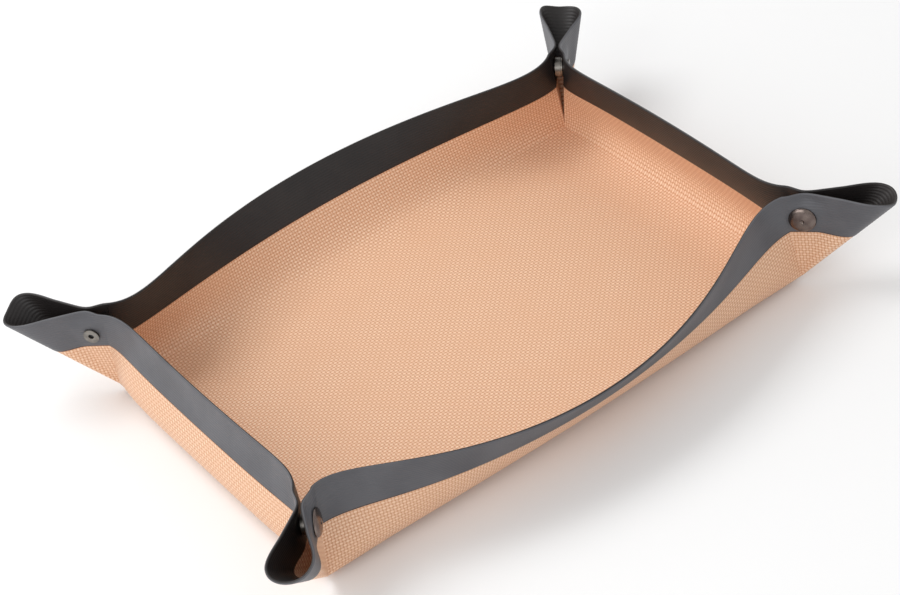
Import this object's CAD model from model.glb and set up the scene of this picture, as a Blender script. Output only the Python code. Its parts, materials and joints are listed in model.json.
"""Folding dice tray: a woven vinyl mat with a ribbed border, held up by four press studs."""
import json
import math

import bmesh
import bpy
import numpy as np
from mathutils import Matrix, Vector


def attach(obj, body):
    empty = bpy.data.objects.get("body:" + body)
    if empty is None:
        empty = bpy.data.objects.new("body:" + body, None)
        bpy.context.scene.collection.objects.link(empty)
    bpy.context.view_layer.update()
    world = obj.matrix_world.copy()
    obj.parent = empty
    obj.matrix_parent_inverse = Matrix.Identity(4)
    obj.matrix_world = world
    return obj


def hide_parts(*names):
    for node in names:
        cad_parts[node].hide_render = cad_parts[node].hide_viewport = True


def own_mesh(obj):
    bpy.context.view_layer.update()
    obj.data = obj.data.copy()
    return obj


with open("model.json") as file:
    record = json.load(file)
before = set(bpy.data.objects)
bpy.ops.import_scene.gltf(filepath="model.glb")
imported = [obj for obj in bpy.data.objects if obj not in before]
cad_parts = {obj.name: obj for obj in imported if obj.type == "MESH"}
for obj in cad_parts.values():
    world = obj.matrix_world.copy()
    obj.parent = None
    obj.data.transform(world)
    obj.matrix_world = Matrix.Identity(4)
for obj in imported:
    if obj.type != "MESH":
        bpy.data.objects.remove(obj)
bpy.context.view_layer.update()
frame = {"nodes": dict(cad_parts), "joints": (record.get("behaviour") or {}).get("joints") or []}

# ---------------------------------------------------------------- floor
# The middle of the mat: flat vinyl yarns in a plain weave, coated, so that it lies flat and keeps a
# soft bend. It lies on the table and turns up at its margin towards four folds. Sizes here are
# millimetres, and the folds are the frame's joints.
joints = {joint["name"]: joint for joint in frame["joints"]}
FOLD_X = joints["fold_right"]["pos_m"][0] * 1000
FOLD_Y = joints["fold_back"]["pos_m"][1] * 1000
FOLD_Z = joints["fold_back"]["pos_m"][2] * 1000
FOLD_RUN = 20.0
MAT_THICK = 1.0
YARN = 1.5


def floor_surface(x, y):
    """Middle surface of the floor: flat, with a margin that rises as the square of its width."""
    lift_x = np.clip((abs(x) - FOLD_X + FOLD_RUN) / FOLD_RUN, 0, 1) ** 2
    lift_y = np.clip((abs(y) - FOLD_Y + FOLD_RUN) / FOLD_RUN, 0, 1) ** 2
    lift = lift_x + lift_y - lift_x * lift_y
    low = MAT_THICK / 2
    return np.stack([x, y, low + (FOLD_Z - low) * lift], -1), np.stack([x, y], -1)


def slab(name, point, flat, across, half, inwards, mirror=(1, 1)):
    """Closed sheet: a grid of middle points, thickened by half to both sides along its normals.

    inwards is roughly the way that the sheet's upper face looks. Three layers go with the mesh:
    the place in the flat sheet, the width across the border, and which face is the outer one.
    """
    normal = np.cross(np.gradient(point, axis=0), np.gradient(point, axis=1))
    normal = normal / np.maximum(np.linalg.norm(normal, axis=-1, keepdims=True), 1e-12)
    normal *= np.sign((normal @ np.array(inwards, float)).mean())
    scale = np.array([mirror[0], mirror[1], 1.0])
    skins = [(point + side * half[..., None] * normal) * scale * 0.001 for side in (1, -1)]
    rows, columns = point.shape[:2]
    count = rows * columns
    index = np.arange(count).reshape(rows, columns)
    quads = np.stack([index[:-1, :-1], index[1:, :-1], index[1:, 1:], index[:-1, 1:]], -1).reshape(-1, 4)
    loop = np.concatenate([index[:, 0], index[-1, 1:], index[-2::-1, -1], index[0, -2:0:-1]])
    after = np.roll(loop, -1)
    edge = np.stack([loop, after, after + count, loop + count], -1)
    faces = np.concatenate([quads, quads[:, ::-1] + count, edge[:, ::-1]])
    mesh = bpy.data.meshes.new(name)
    mesh.from_pydata(np.concatenate([skin.reshape(-1, 3) for skin in skins]).tolist(), [], faces.tolist())
    places = np.concatenate([flat.reshape(-1, 2)] * 2) * scale[:2]
    corner = np.empty(len(mesh.loops), int)
    mesh.loops.foreach_get("vertex_index", corner)
    mesh.uv_layers.new(name="sheet_place").data.foreach_set("uv", places[corner].ravel())
    for layer, values in (("across", np.concatenate([across.ravel()] * 2)),
                          ("outer", np.repeat([0.0, 1.0], count))):
        mesh.attributes.new(layer, "FLOAT", "POINT").data.foreach_set("value", values)
    form = bmesh.new()
    form.from_mesh(mesh)
    bmesh.ops.recalc_face_normals(form, faces=form.faces)
    form.to_mesh(mesh)
    form.free()
    mesh.shade_smooth()
    ends = np.empty(len(mesh.edges) * 2, int)
    mesh.edges.foreach_get("vertices", ends)
    ends = ends.reshape(-1, 2)
    on_rim = np.zeros(2 * count, bool)
    on_rim[np.concatenate([loop, loop + count])] = True
    same_skin = (ends[:, 0] < count) == (ends[:, 1] < count)
    sharp = mesh.attributes.new("sharp_edge", "BOOLEAN", "EDGE")
    sharp.data.foreach_set("value", on_rim[ends[:, 0]] & on_rim[ends[:, 1]] & same_skin)
    piece = bpy.data.objects.new(name, mesh)
    bpy.context.scene.collection.objects.link(piece)
    return piece


def lay(piece, body, anchor, node, material):
    """Hands a piece of the sheet over: its body, how the fold flattens it, and what it stands for."""
    piece.data.materials.append(material)
    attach(piece, body)
    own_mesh(piece)
    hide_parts(node)


class Wire:
    """A shader socket that takes part in sums; each operator adds a Math node."""

    def __init__(self, tree, socket=None):
        self.tree = tree
        self.socket = socket

    def node(self, kind, settings=None, output=0, **inputs):
        """Any node: its type, its settings, and the values or links of its inputs.

        An input called i6 is the one at place 6, and any other is found by its name.
        """
        new = self.tree.nodes.new(kind)
        for field, value in (settings or {}).items():
            setattr(new, field, value)
        for key, value in inputs.items():
            place = int(key[1:]) if key[0] == "i" and key[1:].isdigit() else key.replace("_", " ")
            if isinstance(value, Wire):
                self.tree.links.new(value.socket, new.inputs[place])
            else:
                new.inputs[place].default_value = value
        return Wire(self.tree, new.outputs[output])

    def math(self, operation, *others):
        """One Math node with this wire first."""
        values = {"i%d" % place: value for place, value in enumerate((self,) + others)}
        return self.node("ShaderNodeMath", {"operation": operation}, **values)

    def __add__(self, other):
        return self.math("ADD", other)

    __radd__ = __add__

    def __sub__(self, other):
        return self.math("SUBTRACT", other)

    def __rsub__(self, other):
        return (self * -1.0) + other

    def __mul__(self, other):
        return self.math("MULTIPLY", other)

    __rmul__ = __mul__

    def __truediv__(self, other):
        return self.math("DIVIDE", other)

    def step(self, low, high):
        """0 below low, 1 above high, smooth between."""
        return self.node("ShaderNodeMapRange", {"interpolation_type": "SMOOTHSTEP"},
                         Value=self, From_Min=low, From_Max=high, To_Min=0.0, To_Max=1.0)

    def blend(self, low, high):
        """Colour from low to high by this wire."""
        return self.node("ShaderNodeMix", {"data_type": "RGBA"}, output=2, i0=self, i6=low, i7=high)


def new_material(name):
    """Empty material: the material, a wire to build from, and its Principled shader."""
    material = bpy.data.materials.new(name)
    material.use_nodes = True
    return material, Wire(material.node_tree), material.node_tree.nodes["Principled BSDF"]


def feed(shader, **inputs):
    """Sets or links the shader's inputs."""
    for key, value in inputs.items():
        target = shader.inputs[key.replace("_", " ")]
        if isinstance(value, Wire):
            value.tree.links.new(value.socket, target)
        else:
            target.default_value = value


def paint(red, green, blue):
    """Linear colour of a display colour given in 0 to 255."""
    return tuple((channel / 255) ** 2.2 for channel in (red, green, blue)) + (1.0,)


def noise(wire, scale, detail=2.0):
    """Fractal noise on object coordinates, scale per metre."""
    place = wire.node("ShaderNodeTexCoord", output=3)
    return wire.node("ShaderNodeTexNoise", Vector=place, Scale=scale, Detail=detail)


def woven_material():
    """Plain weave: the warp lies on top where row + column is even, the weft where it is odd.

    A yarn's float is an ellipse in its cell, light in its middle and darker where it dives.
    """
    material, wire, shader = new_material("woven_mesh")
    place = wire.node("ShaderNodeUVMap", {"uv_map": "sheet_place"})
    x = wire.node("ShaderNodeSeparateXYZ", output=0, Vector=place) / YARN
    y = wire.node("ShaderNodeSeparateXYZ", output=1, Vector=place) / YARN
    column = x.math("FLOOR")
    row = y.math("FLOOR")
    in_x = x - column - 0.5
    in_y = y - row - 0.5
    odd = (((column + row) * 0.5).math("FRACT") * 2.0).step(0.4, 0.6)
    length = in_x + (in_y - in_x) * odd
    width = in_y + (in_x - in_y) * odd
    grain = 1.0 - (length * length * 1.5 + width * width * 3.4).step(0.12, 0.8)
    light = grain * (1.0 - 0.35 * odd) * (0.8 + 0.4 * noise(wire, 900.0))
    cloud = noise(wire, 45.0, 3.0).step(0.3, 0.75)
    colour = light.blend(paint(205, 146, 108), paint(248, 212, 182))
    colour = (cloud * 0.25).blend(colour, paint(226, 174, 138))
    bump = wire.node("ShaderNodeBump", Height=grain, Strength=0.5, Distance=0.00025)
    feed(shader, Base_Color=colour, Roughness=0.56 - 0.12 * grain, Normal=bump, Specular_IOR_Level=0.4)
    return material


woven = woven_material()
grid_x, grid_y = np.meshgrid(FOLD_X * np.sin(np.linspace(-1, 1, 141) * math.pi / 2),
                             FOLD_Y * np.sin(np.linspace(-1, 1, 101) * math.pi / 2), indexing="ij")
point, flat = floor_surface(grid_x, grid_y)
floor_mat = slab("floor_mat", point, flat, grid_x * 0, np.full(grid_x.shape, MAT_THICK / 2), (0, 0, 1))
lay(floor_mat, "base", (0, 0, FOLD_Z / 1000), "mat_floor", woven)
2 * FOLD_Y / 1000
2 * FOLD_X / 1000

# ---------------------------------------------------------------- walls
# The same sheet from its folds to the rim. A dark vinyl band 20 mm wide is folded over the mat's
# edge and welded down on both faces: satin grey outside and black inside, with fine ribs along it
# and a brown line at the weld. The long walls bow outwards; each end is pinched by a press stud.
WALL = 46.0
BORDER = 20.0
BORDER_HALF = 0.65
LIP = 0.5
RIB = 1.3
RIB_HEIGHT = 0.045
CORNER_POWER = 14.0
STUD_REACH = WALL - 12.2
LAYER = 3.0
BEND_POWER = 3
APEX = np.array([FOLD_X, FOLD_Y, FOLD_Z])
LONG_RIM = {"bow": 31.5, "drop": 11.8, "dip": 14.9}
SHORT_RIM = {"bow": -3.6, "drop": -0.6, "dip": 5.9}
RIM_TURN = 10.8
SIDES = {"front": (1, -1), "back": (1, 1), "left": (-1, 1), "right": (1, 1)}


def unit(vector):
    """The same directions at length one."""
    return vector / np.linalg.norm(vector, axis=-1, keepdims=True)


def smooth(share):
    """Cubic step from 0 to 1."""
    share = np.clip(share, 0, 1)
    return share * share * (3 - 2 * share)


PINCH = unit(np.array([4.1, 1.9, 43.2]))
EAR_FACE = unit(np.cross(PINCH, [0.66, 0.75, 0.0]))
EAR_OUT = np.cross(EAR_FACE, PINCH)
FOLD_ANGLE = math.atan2(7.0, STUD_REACH)
FOLD_LINE = PINCH * math.cos(FOLD_ANGLE) - EAR_OUT * math.sin(FOLD_ANGLE)
FOLD_OUT = PINCH * math.sin(FOLD_ANGLE) + EAR_OUT * math.cos(FOLD_ANGLE)
SPLAY = LAYER / STUD_REACH
LONG_FLAT = math.pi / 2 + math.asin(-unit(FOLD_LINE + EAR_FACE * SPLAY)[0])
SHORT_FLAT = math.asin(unit(FOLD_LINE - EAR_FACE * SPLAY)[1])


def flat_reach(flat_angle):
    """Distance from the floor's corner to the rim in the flat sheet: a superellipse's quarter."""
    spread = abs(np.cos(flat_angle)) ** CORNER_POWER + abs(np.sin(flat_angle)) ** CORNER_POWER
    return WALL / spread ** (1 / CORNER_POWER)


def rim_curve(long_wall, along):
    """Rim of a wall from its middle, 0, to its ear, 1.

    It bows out by (bow + dip)(1 - a^2) and turns in again by dip(1 - a^turn), dropping as it bows.
    """
    side = 1 if long_wall else -1
    end_flat = LONG_FLAT if long_wall else SHORT_FLAT
    end = APEX + (FOLD_LINE + side * SPLAY * EAR_FACE) * flat_reach(end_flat)
    rim = LONG_RIM if long_wall else SHORT_RIM
    arch = 1 - along ** 2
    out = (rim["bow"] + rim["dip"]) * arch - rim["dip"] * (1 - along ** RIM_TURN)
    height = end[2] - rim["drop"] * arch
    if long_wall:
        return np.stack([end[0] * along, end[1] + out, height], -1)
    return np.stack([end[0] + out, end[1] * along, height], -1)


def wall_surface(long_wall, along, width):
    """Middle surface of a wall: the chord from fold to rim, plus a belly that fades to the corners.

    The belly is turn x chord x s(1 - s)^3, so the wall leaves its fold at the floor's own slope.
    """
    part = abs(along)
    rim = rim_curve(long_wall, part)
    level = np.full_like(part, FOLD_Z)
    if long_wall:
        foot = np.stack([part * FOLD_X, np.full_like(part, FOLD_Y), level], -1)
        flat = np.stack([part * FOLD_X, FOLD_Y + width], -1)
    else:
        foot = np.stack([np.full_like(part, FOLD_X), part * FOLD_Y, level], -1)
        flat = np.stack([FOLD_X + width, part * FOLD_Y], -1)
    outwards = np.array([0.0, 1.0, 0.0] if long_wall else [1.0, 0.0, 0.0])
    chord = rim - foot
    slope = np.arctan2(chord[..., 2], chord @ outwards)
    turn = slope - math.atan(2 * FOLD_Z / FOLD_RUN)
    length = np.linalg.norm(chord, axis=-1)
    share = width / WALL
    belly = turn * length * (1 - part ** 6) * share * (1 - share) ** BEND_POWER
    sideways = np.sin(slope)[..., None] * outwards - np.cos(slope)[..., None] * np.array([0.0, 0.0, 1.0])
    point = foot + chord * share[..., None] + belly[..., None] * sideways
    index = 0 if long_wall else 1
    sign = np.where(along < 0, -1.0, 1.0)
    point[..., index] *= sign
    flat[..., index] *= sign
    return point, flat


def border_material():
    """Satin vinyl, grey outside and black inside, with a faint grain and the weld's brown line."""
    material, wire, shader = new_material("border_tape")
    across = wire.node("ShaderNodeAttribute", {"attribute_name": "across"}, output=2)
    outer = wire.node("ShaderNodeAttribute", {"attribute_name": "outer"}, output=2)
    grain = noise(wire, 1500.0, 4.0)
    cloud = noise(wire, 45.0, 3.0).step(0.3, 0.7)
    inside = cloud.blend(paint(40, 37, 37), paint(48, 44, 43))
    outside = cloud.blend(paint(84, 84, 88), paint(94, 94, 98))
    tone = outer.step(0.75, 0.95).blend(inside, outside)
    colour = (1.0 - across.step(0.2, 0.75)).blend(tone, paint(62, 40, 30))
    bump = wire.node("ShaderNodeBump", Height=grain, Strength=0.1, Distance=0.0002)
    feed(shader, Base_Color=colour, Roughness=0.4 + 0.12 * grain, Normal=bump, Specular_IOR_Level=0.4)
    return material


def border_half(across):
    """Half thickness of the border: a rounded lip at the weld, ribs, and a rounded turn at the rim."""
    to_rim = np.clip((across - (BORDER - BORDER_HALF)) / BORDER_HALF, 0, 1)
    body = BORDER_HALF * np.sqrt(1 - to_rim ** 2)
    lip = MAT_THICK / 2 / BORDER_HALF
    body = body * (lip + (1 - lip) * smooth(across / LIP))
    ribs = RIB_HEIGHT * np.cos(2 * math.pi * across / RIB) * smooth(across / RIB) * smooth((BORDER - across) / RIB)
    return np.maximum(body + ribs, 0.02)


def border_steps():
    """Widths at which the border is sampled, from the weld to the rim."""
    body = np.linspace(0, BORDER - BORDER_HALF, 76)
    turn = BORDER - BORDER_HALF + BORDER_HALF * np.sin(np.linspace(0, math.pi / 2, 6))[1:]
    return np.concatenate([body, turn])


tape = border_material()
BANDS = {"mat": (np.linspace(0, WALL - BORDER, 33), woven, "woven_mesh"),
         "border": (WALL - BORDER + border_steps(), tape, "border_tape")}
for side, mirror in SIDES.items():
    long_wall = side in ("front", "back")
    stations = np.sin(np.linspace(-1, 1, 151 if long_wall else 111) * math.pi / 2)
    pinch_line = FOLD_LINE + (1 if long_wall else -1) * SPLAY * EAR_FACE
    crease = np.array([1.0, 0, 0] if long_wall else [0, 1.0, 0])
    axis = unit(np.cross(crease, pinch_line)) * [mirror[0], mirror[1], 1]
    anchor = APEX * [mirror[0], mirror[1], 1] / 1000
    span = 2 * (FOLD_X if long_wall else FOLD_Y) / 1000
    for part, (widths, material, slot) in BANDS.items():
        along, width = np.meshgrid(stations, widths, indexing="ij")
        point, flat = wall_surface(long_wall, along, width)
        across = width - (WALL - BORDER)
        half = np.full(width.shape, MAT_THICK / 2) if part == "mat" else border_half(across)
        inwards = (0, -1, 0.5) if long_wall else (-1, 0, 0.5)
        piece = slab("wall_%s_%s" % (part, side), point, flat, across, half, inwards, mirror)
        lay(piece, "wall_" + side, tuple(anchor), "%s_wall_%s" % (part, side),
            material)
        (widths[-1] - widths[0]) / 1000

# ---------------------------------------------------------------- ears
# At each corner the sheet is pinched by its press stud, and what is left of it beyond flares into a
# loop with its black face inside. It is a cone about the floor's corner, in a half on each side.
BULGE = 3.6
BULGE_RISE = 0.85
NIP = 0.72
NIP_START = 4.0
NIP_WIDTH = 7.0
SPINE = (LONG_FLAT - SHORT_FLAT) / 2
SEAT_END = 2 * FOLD_ANGLE
MAT_START = 0.3
CORNERS = {"front_left": (-1, -1), "front_right": (1, -1), "back_left": (-1, 1), "back_right": (1, 1)}


def ear_surface(long_half, angle, width):
    """Middle surface of half an ear: the ruling at this angle from its fold, out to this width.

    Half width of the loop = (splay + bulge) x sqrt(1 - a^6), with a from the seat's end to the tip.
    Beside the press stud and above it the two halves nip together towards the rim.
    """
    along = np.clip((angle - SEAT_END) / (SPINE - SEAT_END), 0, 1)
    half = (SPLAY + BULGE / STUD_REACH * smooth(along / BULGE_RISE)) * np.sqrt(1 - along ** 6)
    flat_angle = LONG_FLAT - angle if long_half else SHORT_FLAT + angle
    reach = flat_reach(flat_angle) * width / WALL
    beside = smooth(angle / FOLD_ANGLE) * (1 - smooth((angle - FOLD_ANGLE) / (1.5 * FOLD_ANGLE)))
    half = half * (1 - NIP * beside * smooth((reach - STUD_REACH - NIP_START) / NIP_WIDTH))
    side = 1 if long_half else -1
    ruling = (np.cos(angle)[..., None] * FOLD_LINE + np.sin(angle)[..., None] * FOLD_OUT
              + side * half[..., None] * EAR_FACE)
    flat = np.stack([FOLD_X + reach * np.cos(flat_angle), FOLD_Y + reach * np.sin(flat_angle)], -1)
    return APEX + ruling * reach[..., None], flat


BANDS["mat"] = (np.linspace(MAT_START, WALL - BORDER, 33), woven, "woven_mesh")
turning = SEAT_END + (SPINE - SEAT_END) * np.sin(np.linspace(0, math.pi / 2, 49))
stations = np.concatenate([np.linspace(0, SEAT_END, 13), turning[1:]])
spine_line = FOLD_LINE * math.cos(SPINE) + FOLD_OUT * math.sin(SPINE)
for corner, mirror in CORNERS.items():
    for half_name, side in (("long", 1), ("short", -1)):
        fold = FOLD_LINE + side * SPLAY * EAR_FACE
        axis = unit(np.cross(fold, spine_line)) * [mirror[0], mirror[1], 1]
        anchor = APEX * [mirror[0], mirror[1], 1] / 1000
        for part, (widths, material, slot) in BANDS.items():
            angle, width = np.meshgrid(stations, widths, indexing="ij")
            point, flat = ear_surface(side > 0, angle, width)
            across = width - (WALL - BORDER)
            half = np.full(width.shape, MAT_THICK / 2) if part == "mat" else border_half(across)
            piece = slab("ear_%s_%s_%s" % (part, corner, half_name), point, flat, across, half,
                         -side * EAR_FACE, mirror)
            lay(piece, "ear_%s_%s" % (corner, half_name),
                tuple(anchor), "%s_ear_%s_%s" % (part, corner, half_name), material)


# ---------------------------------------------------------------- press studs
# Gunmetal plated brass: a domed cap on the long side, its socket and ring spring between the
# layers, and the stud on its hollow post from the short side.
def metal_material(name, dark, light, roughness):
    """Plated metal with fine scratches."""
    material, wire, shader = new_material(name)
    scratch = noise(wire, 2500.0, 6.0)
    colour = noise(wire, 300.0).step(0.3, 0.7).blend(dark, light)
    bump = wire.node("ShaderNodeBump", Height=scratch, Strength=0.08, Distance=0.0001)
    feed(shader, Base_Color=colour, Metallic=1.0, Roughness=roughness + 0.14 * scratch, Normal=bump)
    return material


cap_metal = metal_material("cap_metal", paint(104, 92, 88), paint(128, 116, 110), 0.16)
stud_metal = metal_material("stud_metal", paint(112, 108, 104), paint(142, 138, 132), 0.26)
spring_metal = metal_material("spring_wire", paint(180, 176, 168), paint(200, 196, 188), 0.3)
finishes = {"stud_cap": cap_metal, "stud_socket": stud_metal, "stud_spring": spring_metal,
            "stud_male": stud_metal, "stud_post": stud_metal}
for name, node in frame["nodes"].items():
    for start, material in finishes.items():
        if name.startswith(start):
            node.data.materials.clear()
            node.data.materials.append(material)

# ---------------------------------------------------------------- table, light and camera
# A pale table under soft light.
bpy.ops.mesh.primitive_plane_add(size=6)
table = bpy.context.object
table.name = "table_top"
table_material, wire, shader = new_material("table_top")
feed(shader, Base_Color=(0.92, 0.92, 0.92, 1), Roughness=0.9, Specular_IOR_Level=0.1)
table.data.materials.append(table_material)

world = bpy.data.worlds.new("studio")
bpy.context.scene.world = world
world.use_nodes = True
world.node_tree.nodes["Background"].inputs["Color"].default_value = (1, 1, 1, 1)
world.node_tree.nodes["Background"].inputs["Strength"].default_value = 0.7


def softbox(name, place, size, power):
    """Square lamp aimed at the tray."""
    lamp = bpy.data.lights.new(name, "AREA")
    lamp.size = size
    lamp.energy = power
    holder = bpy.data.objects.new(name, lamp)
    holder.location = place
    holder.rotation_euler = (Vector((0, 0, 0.02)) - Vector(place)).to_track_quat("-Z", "Y").to_euler()
    bpy.context.scene.collection.objects.link(holder)


softbox("key_light", (-0.5, 0.8, 1.3), 0.8, 11)
softbox("fill_light", (-1.2, -0.6, 0.8), 1.0, 6)

AZIMUTH, ELEVATION, ROLL = math.radians(-28.7), math.radians(38.3), math.radians(12.0)
DISTANCE = 1.116
LENS = 98.9
camera = bpy.data.objects.new("camera", bpy.data.cameras.new("camera"))
bpy.context.scene.collection.objects.link(camera)
bpy.context.scene.camera = camera
away = Vector((math.sin(AZIMUTH) * math.cos(ELEVATION), -math.cos(AZIMUTH) * math.cos(ELEVATION),
               math.sin(ELEVATION)))
camera.matrix_world = (Matrix.Translation(Vector((0, 0, 0.026)) + away * DISTANCE)
                       @ away.to_track_quat("Z", "Y").to_matrix().to_4x4() @ Matrix.Rotation(-ROLL, 4, "Z"))
camera.data.lens = LENS
camera.data.shift_y = -0.006
camera.data.clip_start = 0.05
bpy.context.scene.view_settings.view_transform = "Standard"
